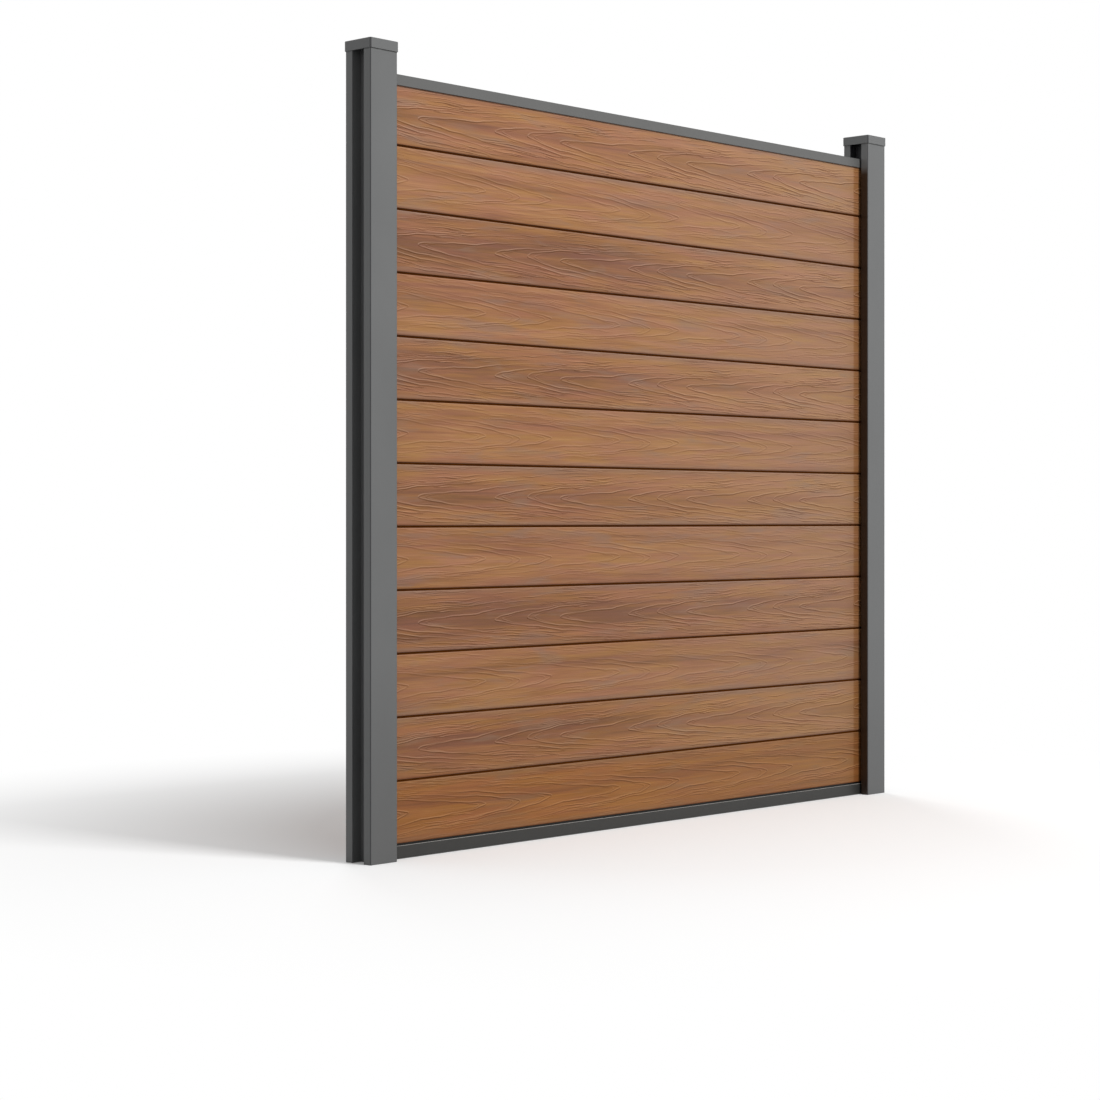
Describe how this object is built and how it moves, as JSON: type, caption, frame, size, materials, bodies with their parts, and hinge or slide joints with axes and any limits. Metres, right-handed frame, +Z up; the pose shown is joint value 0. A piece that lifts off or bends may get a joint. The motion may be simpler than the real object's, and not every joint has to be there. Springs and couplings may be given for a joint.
{
  "type": "fence panel",
  "caption": "Privacy fence panel of stacked wood-grain composite boards, tongue and groove, held between slotted square metal posts with flat caps and closed by metal rails.",
  "frame": {"origin": "on the ground midway between the posts", "axes": "+X along the panel from the left post to the right post, the front faces -Y, +Z up"},
  "size_m": [1.9244, 0.0844, 1.79],
  "materials": {
    "post_coating": "mid-grey fine-textured coating on extruded aluminium",
    "cap_coating": "mid-grey fine-textured coating on a pressed cap",
    "rail_coating": "grey fine-textured coating on extruded aluminium",
    "board_composite": "deep embossed wood grain on brown wood-plastic composite, streaked along the length",
    "guide_plastic": "matt black extruded plastic"
  },
  "bodies": {
    "root": {"board_01": "board_composite", "board_02": "board_composite", "board_03": "board_composite", "board_04": "board_composite", "board_05": "board_composite", "board_06": "board_composite", "board_07": "board_composite", "board_08": "board_composite", "board_09": "board_composite", "board_10": "board_composite", "board_11": "board_composite", "board_12": "board_composite", "board_guide_left": "guide_plastic", "board_guide_right": "guide_plastic", "bottom_rail": "rail_coating", "post_cap_left": "cap_coating", "post_cap_right": "cap_coating", "post_left": "post_coating", "post_right": "post_coating", "top_rail": "rail_coating"}
  },
  "joints": []
}
